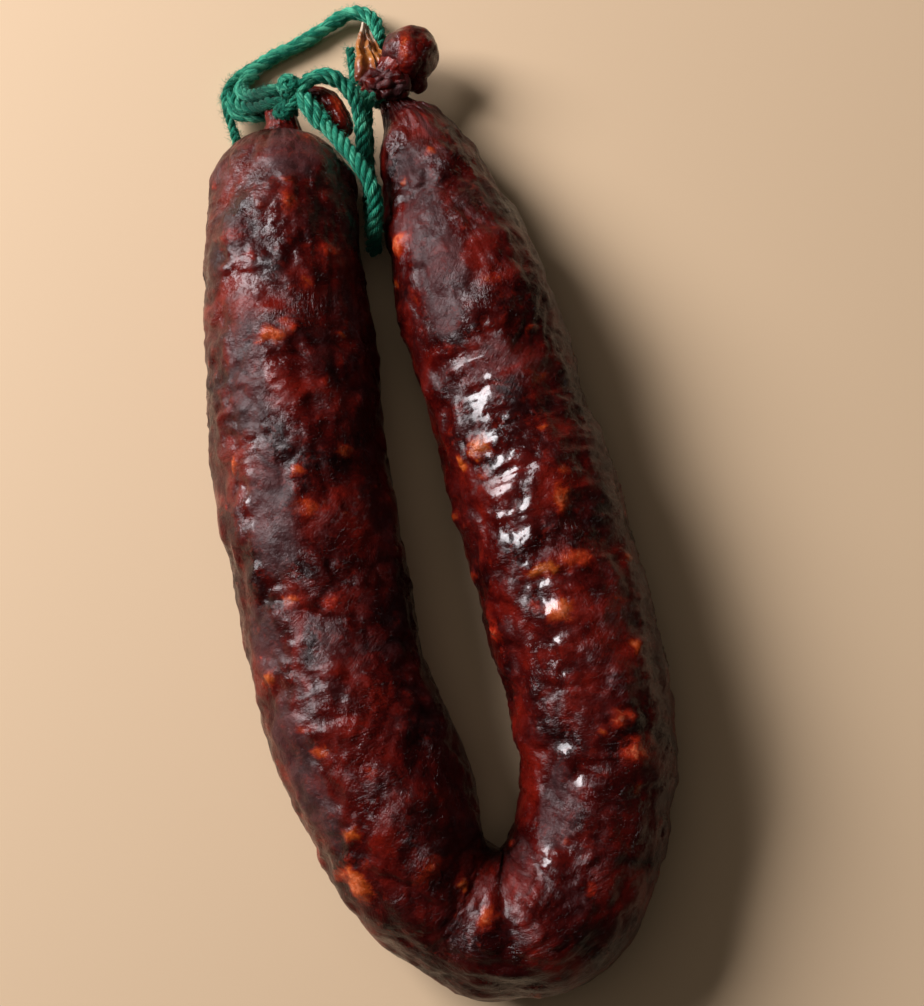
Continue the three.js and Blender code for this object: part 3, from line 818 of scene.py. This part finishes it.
def facet_group():
    """Broken facets: each cell of the skin is a small flat that leans its own way."""
    tree, given = effect_group("broken facets", {"Size": 3 * MM, "Around": 1.0})
    spot = scaled(tree, given["Vector"], math_of(tree, "DIVIDE", 1.0, given["Size"]))
    squeeze = math_of(tree, "DIVIDE", 1.0, given["Around"])
    squeezed = add(tree, "ShaderNodeCombineXYZ", {"X": 1.0, "Y": squeeze, "Z": squeeze}).outputs[0]
    spot = vector_of(tree, "MULTIPLY", spot, squeezed)
    ragged = add(tree, "ShaderNodeTexNoise", {"Vector": spot, "Scale": 1.3, "Detail": 3.0}).outputs["Color"]
    spot = vector_of(tree, "ADD", spot, scaled(tree, ragged, 1.1))
    cells = add(tree, "ShaderNodeTexVoronoi", {"Vector": spot, "Scale": 1.0})
    away = vector_of(tree, "SUBTRACT", spot, cells.outputs["Position"])
    lean_way = vector_of(tree, "SUBTRACT", cells.outputs["Color"], (0.5, 0.5, 0.5))
    slope = add(tree, "ShaderNodeVectorMath", {0: away, 1: lean_way}, operation="DOT_PRODUCT")
    add(tree, "NodeGroupOutput", {"Height": slope.outputs["Value"]})
    return tree


WRINKLES = wrinkle_group()
BROKEN_FACETS = facet_group()


def stepped(tree, share, low, high, to_low=0.0, to_high=1.0):
    """share from low to high, eased, as to_low to to_high."""
    return add(tree, "ShaderNodeMapRange", {0: share, 1: low, 2: high, 3: to_low, 4: to_high},
               interpolation_type="SMOOTHSTEP").outputs["Result"]


def casing_relief(tree, place):
    """The fine wrinkles, the broad swells, and the height of both with flats and pits on them."""
    skin = add(tree, "ShaderNodeAttribute", attribute_name="straight").outputs["Vector"]

    def grained(group, **sizes):
        return add(tree, "ShaderNodeGroup", {"Vector": skin, **sizes}, node_tree=group).outputs["Height"]

    across = grained(WRINKLES, Along=1.0 * MM, Around=2.6 * MM, Twist=0.0)
    lengthwise = grained(WRINKLES, Along=3.2 * MM, Around=0.9 * MM, Twist=0.0)
    slanting = grained(WRINKLES, Along=2.6 * MM, Around=1.0 * MM, Twist=55.0)
    where = stepped(tree, noise_of(tree, place, 55.0, 2.0), 0.42, 0.58)
    where_slanting = stepped(tree, noise_of(tree, place, 42.0, 2.0), 0.45, 0.6)
    fine = add(tree, "ShaderNodeMix", {0: where, 2: across, 3: lengthwise}).outputs[0]
    fine = add(tree, "ShaderNodeMix", {0: where_slanting, 2: fine, 3: slanting}).outputs[0]
    strength = stepped(tree, noise_of(tree, place, 90.0), 0.35, 0.7, 0.1, 1.0)
    fine = math_of(tree, "MULTIPLY", fine, strength)
    broad = noise_of(tree, place, 260.0, 4.0, 0.6)
    height = plus(tree, math_of(tree, "MULTIPLY", fine, 0.5), 0.3, noise_of(tree, place, 1500.0))
    height = plus(tree, height, 0.7, broad)
    height = plus(tree, height, 1.5, grained(BROKEN_FACETS, Size=3.4 * MM, Around=1.5))
    height = plus(tree, height, 1.0, grained(BROKEN_FACETS, Size=1.3 * MM, Around=1.3))
    return fine, broad, height


DARK_MEAT = (0.012, 0.0004, 0.0004)
RED_MEAT = (0.058, 0.0023, 0.0016)
BRIGHT_MEAT = (0.15, 0.0066, 0.003)
RED_SPECK = (0.16, 0.009, 0.004)
# Grey of dry matt casing, also used as a painted sheen.
GREY_BLOOM_AND_SHEEN = (0.055, 0.021, 0.022)
FAT_HALO = (0.20, 0.009, 0.003)
RED_FAT = (0.42, 0.022, 0.007)
AMBER_FAT = (0.46, 0.095, 0.01)
CLEAR_FAT = (0.66, 0.17, 0.07)
# Painted shade in the creases between facets, in the fold groove and in pleat valleys.
CREASE_SHADE = (0.012, 0.0008, 0.001)
# Painted shade in the valleys of the fine wrinkles.
WRINKLE_SHADE = (0.014, 0.0006, 0.0008)


def casing_colour(tree, place, fine, broad):
    """The meat and the fat seen through the casing, with painted shade in creases and wrinkle valleys, and
    how much of each place is dry matt casing with painted sheen, and how much is fat.
    """

    def over(colour, share, strength, top):
        return mixed(tree, math_of(tree, "MULTIPLY", share, strength), colour, top)

    meat = noise_of(tree, place, 80.0, 5.0, 0.7)
    colour = ramp_of(tree, meat, (0.36, DARK_MEAT), (0.53, RED_MEAT), (0.68, BRIGHT_MEAT))
    speck = stepped(tree, noise_of(tree, place, 420.0, 4.0), 0.56, 0.72)
    colour = over(colour, speck, 0.45, RED_SPECK)
    # Dry matt grey, partly a painted sheen on the sides that face the window.
    bloom_and_sheen = stepped(tree, plus(tree, field_of(tree, "bloom_and_sheen"), 0.7, broad), 0.72, 1.05)
    colour = over(colour, bloom_and_sheen, 0.55, GREY_BLOOM_AND_SHEEN)
    torn = math_of(tree, "SUBTRACT", noise_of(tree, place, 620.0, 4.0, 1.2), 0.5)
    swell = math_of(tree, "MULTIPLY", math_of(tree, "SUBTRACT", broad, 0.5), 0.7)
    ragged = math_of(tree, "ADD", field_of(tree, "fat"), plus(tree, swell, 0.9, torn))
    colour = over(colour, stepped(tree, ragged, 0.0, 0.5), 0.7, FAT_HALO)
    core = stepped(tree, ragged, 0.3, 0.95)
    colour = over(colour, core, 0.92, mixed(tree, field_of(tree, "fat_tint"), RED_FAT, AMBER_FAT))
    clear_middle = stepped(tree, math_of(tree, "ADD", ragged, torn), 0.75, 1.25)
    colour = over(colour, clear_middle, 0.6, CLEAR_FAT)
    # Painted shade: the creases, the fold groove and the pleat valleys are darkened.
    colour = over(colour, stepped(tree, field_of(tree, "crease_shade"), 0.05, 0.5), 0.4, CREASE_SHADE)
    # Painted shade: the valleys of the fine wrinkles are darkened.
    colour = over(colour, math_of(tree, "SUBTRACT", 1.0, fine), 0.22, WRINKLE_SHADE)
    return colour, bloom_and_sheen, core


def casing_material():
    """Dried casing over cured meat: near black red where it is thick, clear orange over fat."""
    material, tree, shader, place = new_material("cured_casing")
    fine, broad, height = casing_relief(tree, place)
    colour, bloom_and_sheen, core = casing_colour(tree, place, fine, broad)
    wet_share = field_of(tree, "wet")
    rough = stepped(tree, noise_of(tree, place, 120.0, 4.0), 0.3, 0.7, 0.22, 0.4)
    rough = plus(tree, rough, 0.2, bloom_and_sheen)
    rough = plus(tree, rough, -0.07, wet_share)
    rough = plus(tree, rough, -0.06, core)
    tree.links.new(rough, shader.inputs["Roughness"])
    coat = math_of(tree, "MULTIPLY", math_of(tree, "SUBTRACT", 1.0, bloom_and_sheen),
                   stepped(tree, wet_share, 0.0, 1.0, 0.03, 0.8))
    tree.links.new(coat, shader.inputs["Coat Weight"])
    finish_shader(tree, shader, colour, height, 1.0, 0.3 * MM, Coat_Roughness=0.13, Specular_IOR_Level=0.27)
    return material


CASING = casing_material()
# The crease field is painted shade: darker along the creases between facets and in the fold groove.
body_fields = {"fat": fat, "fat_tint": fat_tint, "crease_shade": facet_edge * crease_zone + fold_groove * 0.6,
               "bloom_and_sheen": bloom_and_sheen, "wet": wet}
body_mesh = skin_mesh("sausage_body", surface, body_path[0, :3], body_path[-1, :3], body_fields, straight)
body = place_piece("sausage_body", body_mesh, CASING)
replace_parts(body, "sausage")


# ---- Left end: neck and stub ----
# The casing is twisted into a thin pleated neck at the left end, passes through the knot, and
# what is left of it past the knot hangs down as a dark glossy stub, still full of meat.

LEFT_NECK_DROP = 0.6 * MM
NECK_PLEATS = 9


def beside(base, *offset):
    """The place that is an offset in mm away from another."""
    return [start + away * MM for start, away in zip(base, offset)]


def from_place(base, *offsets):
    """Stations placed from a point by offsets in mm, each with its radius in mm."""
    return [(*beside(base, *offset[:3]), offset[3] * MM) for offset in offsets]


LEFT_CROWN = (left_leg[-1][0], left_leg[-1][1] + DOME_LENGTH, left_leg[-1][2] - LEFT_NECK_DROP)
LEFT_KNOT_AT = beside(LEFT_CROWN, 1.6, 8.6, 0)


def small_skin(name, stations, sides, step, pleated, marbled, glossy):
    """A thin length of bare casing.

    pleated, marbled and glossy each give shares of its run, then the amounts there: the pleats'
    depth in mm, the dry lumps' depth in mm, which also clears the casing, and the share of gloss.
    """
    path = smooth_path(stations, step)
    points, out, turn = rings_along(path, sides)
    share = np.linspace(0, 1, len(path))[:, None]
    folds = ridges(np.cos(turn[None] * NECK_PLEATS + 5 * share) * 0.5)
    dry = lattice(points, 2.4 * MM, 51) * 0.8 + lattice(points, 1.1 * MM, 52) * 0.35
    depth = -folds * np.interp(share, *pleated) + dry * np.interp(share, *marbled)
    points = points + out * (depth * MM)[..., None]
    run_of = np.linspace(0, run_length(path), len(path))[:, None] + 0 * turn[None]
    mean = path[:, 3].mean()
    across_of = np.cos(turn)[None] * mean + 0 * run_of
    up_of = np.sin(turn)[None] * mean + 0 * run_of
    drawn = np.stack([run_of, across_of, up_of], -1)
    blank = np.zeros(points.shape[:2])
    reds = np.clip(lattice(points, 3 * MM, 53) + 0.1, 0, 1)
    # The crease field here is painted shade in the pleat valleys.
    fields = {"fat": reds * 0.5 + np.interp(share, *marbled), "fat_tint": blank + 0.15,
              "crease_shade": folds * 0.3, "bloom_and_sheen": blank,
              "wet": blank + np.interp(share, *glossy)}
    return skin_mesh(name, points, path[0, :3], path[-1, :3], fields, drawn)


neck_stations = [
    *from_place(LEFT_CROWN, (0, -5, 0, 6.2), (-0.4, 0.4, 0, 4.7), (-0.8, 3, 0, 3.9)),
    *from_place(LEFT_KNOT_AT, (-3.6, -3.2, -0.4, 3.1), (-4.2, -1, 0, 2.3), (-2.8, 0, 0, 2.2),
                (3.2, 0.2, 0.2, 2.2), (6.2, 0.6, 0.6, 2.3), (8.8, -1.2, 1, 2.95), (11, -4.6, 1, 3.1),
                (12.9, -8, 1, 2.6), (13.6, -9.5, 0.9, 1.5), (13.8, -10, 0.8, 0.4)),
]
neck_mesh = small_skin("left_neck_and_stub", neck_stations, 56, 0.3 * MM,
                       ([0, 0.45, 0.6, 1], [0.5, 0.5, 0.45, 0.3]),
                       ([0, 0.5, 0.7, 1], [0.1, 0.1, 0.3, 0.26]),
                       ([0, 0.5, 0.65], [0, 0, 0.3]))
place_piece("left_neck_and_stub", neck_mesh, CASING)

# ---- Left knot ----
# The string goes twice round the neck under tension, with a hard round knot on top of the turns
# and a smaller one beside it. Pulled tight, it is thinner here than where it hangs.

TIGHT_STRING = 2.6 * MM


def turns_round(centre, axis, radius, count, string):
    """A path that goes count times round an axis, one string's width further on at each turn."""
    axis = np.array(axis, float) / np.linalg.norm(axis)
    one = np.cross(axis, (0, 0, 1))
    two = np.cross(one, axis)
    angle = np.linspace(0, math.tau * count, 40 * count)[:, None] - math.pi / 2
    advance = (np.linspace(-0.5, 0.5, len(angle)) * (count - 1 + 0.3) * string)[:, None]
    return np.array(centre) + radius * (one * np.cos(angle) + two * np.sin(angle)) + axis * advance


KNOT_TURNS = 5


def hard_knot(centre, radius, first_turn):
    """The line of a string pulled into a hard ball: its turns all cross each other."""
    t = np.linspace(0, KNOT_TURNS * math.tau, 200, endpoint=False)
    swing = t / KNOT_TURNS + first_turn
    flat = np.stack([np.cos(t), np.sin(t) * 0.55, np.sin(t) * 0.84], axis=1)
    line = np.stack([flat[:, 0] * np.cos(swing) - flat[:, 1] * np.sin(swing),
                     flat[:, 0] * np.sin(swing) + flat[:, 1] * np.cos(swing), flat[:, 2]], axis=1)
    return np.array(centre) + line * radius


turn_sizes = {**string_sizes(TIGHT_STRING, strands=3, seed=21), "Step": 0.3 * MM, "Fibre": 0.8 * MM}
collar_path = turns_round(LEFT_KNOT_AT, (1, 0, 0), 3.75 * MM, 2, TIGHT_STRING)
left_turns = lay_string("left_knot_turns", collar_path, turn_sizes)
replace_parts(left_turns, "left_knot")
knot_string = {**string_sizes(2.4 * MM, strands=3, seed=23, fuzz=1.2e6), "Fibre": 0.9 * MM}
ball_at = beside(LEFT_KNOT_AT, -0.2, 1.2, 5.4)
small_at = beside(LEFT_KNOT_AT, -1.8, -4.6, 3)
lay_string("left_knot_ball", hard_knot(ball_at, 1.95 * MM, 0.6), knot_string, closed=True)
lay_string("left_knot_small", hard_knot(small_at, 1.45 * MM, 2.1), knot_string, closed=True)
# Each strap's width, and its route, in mm.
STRAPS = {
    "left_knot_strap": (3.1, [
        (-33.6, 95.4, 19.6), (-32.6, 97.6, 21.4), (-31.6, 99.2, 22), (-29.6, 100.6, 21.8),
    ]),
    "left_knot_head": (4.9, [
        (-33.4, 97.4, 18.4), (-32.4, 96, 20.6), (-30.6, 93.6, 21.6), (-28.4, 90.9, 21.4), (-27, 89.2, 21.4),
    ]),
    "left_knot_link": (2.4, [
        (-34.4, 98.4, 21.4), (-33.8, 96.4, 21.4), (-34.6, 94.4, 20.6), (-36.4, 93.2, 19.6),
    ]),
    "loop_doubling": (3.4, [
        (-36.8, 98.8, 17.4), (-39.6, 98.8, 18.4), (-42.4, 98.8, 15.6), (-45.2, 99.4, 12.4),
        (-47.6, 100.8, 9.6), (-48.8, 103, 7), (-48, 105.6, 5.4), (-45.4, 108, 4.2),
    ]),
    "lower_doubling": (3.0, [
        (-36.8, 95.8, 17.4), (-39.4, 95.6, 18.2), (-42, 95.8, 16), (-44.4, 96.2, 12.8),
        (-47.2, 96.8, 10.6), (-49.6, 98.8, 8.8), (-50.8, 101.6, 7),
    ]),
}
for index, (name, (width, points)) in enumerate(STRAPS.items()):
    strap_path = smooth_path(np.array(points) * MM, 0.3 * MM)
    strap_sizes = string_sizes(width * MM, strands=3 + index % 2, seed=25 + index)
    lay_string(name + "_string", strap_path, strap_sizes)

# ---- Cut ends ----
# Where the string was cut its strands have opened out.


def open_end(name, points, diameter, seed):
    path = smooth_path(np.array(points) * MM, 0.3 * MM)
    sizes = {**string_sizes(diameter, strands=3, seed=seed, fuzz=2.4e6), "Fibre": 1.8 * MM}
    piece = lay_string(name + "_string", path, sizes)
    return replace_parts(piece, name)


open_end("left_cut_end", LEFT_CUT_END, 2.3 * MM, 31)
open_end("right_cut_end", RIGHT_CUT_END, 2.3 * MM, 33)

# ---- Right binding ----
# One tight turn of the string bites into the right neck. The crumpled casing hides most of it.

BITING_STRING = 2 * MM
binding_path = turns_round(RIGHT_NECK_AT, (-0.35, 0.94, 0), 3.7 * MM, 1, BITING_STRING)
binding = lay_string("right_binding_turn", binding_path,
                     {**string_sizes(BITING_STRING, strands=3, seed=27), "Step": 0.25 * MM})
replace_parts(binding, "right_binding")

# ---- Right end: bound lump, crumpled casing and dry flap ----
# Past the binding a lump of meat is shut in the casing. The loose casing is gathered in a crumple
# on the neck, and its end stands up as a thin flap, dried clear and amber.


def lump(name, centre, half_axes, seed, rough, fields_of):
    """A closed lump of bare casing, in mm about a centre, roughened in three sizes."""
    ball = bpy.data.meshes.new(name)
    build = bmesh.new()
    bmesh.ops.create_icosphere(build, subdivisions=6, radius=1)
    build.to_mesh(ball)
    build.free()
    unit = np.empty(len(ball.vertices) * 3)
    ball.vertices.foreach_get("co", unit)
    unit = unit.reshape(-1, 3)
    places = np.array(centre) + unit * np.array(half_axes) * MM
    depth = (lattice(places, 5 * MM, seed) * rough[0] + lattice(places, 2.4 * MM, seed + 1) * rough[1]
             - ridges(lattice(places, 3.2 * MM, seed + 2)) * rough[2])
    places = places + unit * (depth * MM)[:, None]
    ball.vertices.foreach_set("co", places.ravel())
    # Painted shade along the lump's crease lines.
    crease_shade = ridges(lattice(places, 3.2 * MM, seed + 2)) * 0.3
    fields = {"fat": 0 * depth, "fat_tint": 0 * depth, "crease_shade": crease_shade, "bloom_and_sheen": 0 * depth,
              "wet": 0 * depth + 0.3}
    fields.update(fields_of(unit, places))
    for label, field in fields.items():
        finish_field(ball, label, field)
    finish_field(ball, "straight", places - np.array(centre))
    ball.shade_smooth()
    return place_piece(name, ball, CASING)


# The bound lump: a fat streak, and a grey painted sheen on its left side, which faces the window.
def lump_fields(unit, places):
    streak = bell(unit[:, 0] + 0.22, 0.17) * bell(unit[:, 1] + 0.05, 0.7) * (unit[:, 2] > -0.2)
    return {"fat": streak * 0.95 + lattice(places, 3 * MM, 70) * 0.2, "fat_tint": 0.25 + 0 * streak,
            "bloom_and_sheen": np.clip(-unit[:, 0] - 0.1, 0, 1) * 0.9}


def crumple_fields(unit, places):
    return {"bloom_and_sheen": np.clip(lattice(places, 3 * MM, 74) + 0.5, 0, 1), "wet": 0.2 + 0 * unit[:, 0]}


lump("bound_lump", beside(RIGHT_NECK_AT, 5.2, 10.6, 3), (7.1, 7.0, 6.4), 60, (0.6, 0.2, 0.16), lump_fields)
lump("lump_lobe", beside(RIGHT_NECK_AT, 6.6, 4.2, 1), (2.6, 3.0, 2.6), 64, (0.5, 0.4, 0.3), crumple_fields)
lump("crumpled_casing", beside(RIGHT_NECK_AT, -1.0, 2.6, 4.1), (6.9, 4.2, 3.3), 67, (0.9, 0.8, 0.9),
     crumple_fields)
stem_stations = from_place(RIGHT_NECK_AT, (1.2, -2.5, -0.2, 3.6), (0, 0, 0, 3.0), (-0.8, 3.4, 1, 3.5),
                           (1.2, 7, 2.6, 4.4), (4.2, 9.6, 3, 4.8))
stem_mesh = small_skin("lump_stem", stem_stations, 56, 0.3 * MM,
                       ([0, 0.5, 1], [0.6, 0.6, 0.3]), ([0, 1], [0.2, 0.3]), ([0, 1], [0.2, 0.2]))
place_piece("lump_stem", stem_mesh, CASING)

# Left and right edges of the flap from its root to its tip, in mm from the neck.
FLAP_LEFT = [(-8.0, 2.6), (-8.3, 7), (-7.9, 12), (-7.0, 18.4)]
FLAP_RIGHT = [(1.8, 3.2), (1.6, 7), (-2.4, 12), (-5.2, 18.2)]
FLAP_ROWS = 120
FLAP_COLUMNS = 80
FLAP_WALL = 0.3 * MM


def flap_sheet(name, start, finish, height, depth, seed):
    """A strip of the flap between two shares of its width, creased along its run."""
    up_share, across_share = np.linspace(0, 1, FLAP_ROWS), np.linspace(start, finish, FLAP_COLUMNS)
    v, u = np.meshgrid(up_share, across_share, indexing="ij")
    edges = [[np.interp(v, np.linspace(0, 1, 4), [point[axis] for point in edge]) for axis in (0, 1)]
             for edge in (FLAP_LEFT, FLAP_RIGHT)]
    x, y = (edges[0][axis] * (1 - u) + edges[1][axis] * u for axis in (0, 1))
    flat = np.stack([x, y, 0 * x], axis=-1) * MM
    folds = np.sin(u * 13 + lattice(flat, 4 * MM, seed) * 1.5) * (1 - 0.6 * v)
    z = height + depth * folds + lattice(flat, 2.2 * MM, seed + 1) * 0.7 - 1.2 * v
    x = x + lattice(flat, 3 * MM, seed + 2) * 0.5
    y = y + lattice(flat, 3.4 * MM, seed + 3) * 0.6
    points = np.stack(beside(RIGHT_NECK_AT, x, y, z), axis=-1)
    index = np.arange(points.shape[0] * points.shape[1]).reshape(points.shape[:2])
    quads = np.stack([index[:-1, :-1], index[:-1, 1:], index[1:, 1:], index[1:, :-1]], -1).reshape(-1, 4)
    mesh = bpy.data.meshes.new(name)
    mesh.from_pydata(points.reshape(-1, 3).tolist(), [], quads.tolist())
    finish_field(mesh, "up_flap", v.ravel())
    mesh.shade_smooth()
    sheet = bpy.data.objects.new(name, mesh)
    collection.objects.link(sheet)
    wall = sheet.modifiers.new("wall", "SOLIDIFY")
    wall.thickness = FLAP_WALL
    wall.offset = 0
    walled = bpy.data.meshes.new_from_object(sheet.evaluated_get(bpy.context.evaluated_depsgraph_get()))
    bpy.data.objects.remove(sheet)
    return place_piece(name, walled, DRY_CASING)


def dry_casing_material():
    """Bare casing dried hard: red brown at its root, clear amber, and pale at its tip."""
    material, tree, shader, place = new_material("dry_casing")
    uneven = math_of(tree, "SUBTRACT", noise_of(tree, place, 330.0, 4.0, 1.0), 0.5)
    share = plus(tree, field_of(tree, "up_flap"), 0.9, uneven)
    colour = ramp_of(tree, share, (0.0, (0.10, 0.012, 0.010)), (0.3, (0.22, 0.045, 0.012)),
                     (0.55, (0.55, 0.20, 0.035)), (0.78, (0.35, 0.13, 0.05)), (0.95, (0.62, 0.5, 0.36)))
    creases = noise_of(tree, place, 900.0, 4.0, 0.5)
    finish_shader(tree, shader, colour, creases, 0.8, 0.2 * MM, Roughness=0.32, Transmission_Weight=0.25)
    return material


DRY_CASING = dry_casing_material()
flap_sheet("flap_left", -0.02, 0.5, 4.6, 0.9, 80)
flap_sheet("flap_right", 0.38, 1.0, 3.6, 1.1, 86)


# ---- Floor and light ----
# A plain pale floor, a large soft window low on the left, and a weak warm fill.

FLOOR_HALF = 2
FLOOR_CORNERS = [(-FLOOR_HALF, -FLOOR_HALF, 0), (FLOOR_HALF, -FLOOR_HALF, 0),
                 (FLOOR_HALF, FLOOR_HALF, 0), (-FLOOR_HALF, FLOOR_HALF, 0)]
floor_mesh = bpy.data.meshes.new("floor")
floor_mesh.from_pydata(FLOOR_CORNERS, [], [(0, 1, 2, 3)])
floor = bpy.data.objects.new("floor", floor_mesh)
collection.objects.link(floor)
floor_material = bpy.data.materials.new("pale_floor")
floor_material.use_nodes = True
floor_shader = floor_material.node_tree.nodes["Principled BSDF"]
floor_shader.inputs["Base Color"].default_value = (0.66, 0.48, 0.3, 1)
floor_shader.inputs["Roughness"].default_value = 0.7
floor_mesh.materials.append(floor_material)


def soft_light(name, place, aim, size, watts, colour):
    light = bpy.data.lights.new(name, "AREA")
    light.shape = "RECTANGLE"
    light.size, light.size_y = size
    light.energy = watts
    light.color = colour
    holder = bpy.data.objects.new(name, light)
    holder.location = place
    holder.rotation_euler = (Vector(place) - Vector(aim)).to_track_quat("Z", "Y").to_euler()
    collection.objects.link(holder)
    return holder


soft_light("window", (-0.9, 0.5, 0.68), (0, 0, 0.02), (0.7, 0.6), 29, (0.98, 0.95, 0.98))
overhead = soft_light("overhead", (-0.15, 0.1, 1.1), (0, 0, 0.02), (1.1, 1.1), 1.25, (1.0, 0.9, 0.8))
overhead.visible_glossy = False
world = bpy.data.worlds.new("room")
world.use_nodes = True
world.node_tree.nodes["Background"].inputs["Color"].default_value = (1.0, 0.93, 0.86, 1)
world.node_tree.nodes["Background"].inputs["Strength"].default_value = 0.02
bpy.context.scene.world = world
bpy.context.scene.view_settings.view_transform = "Standard"
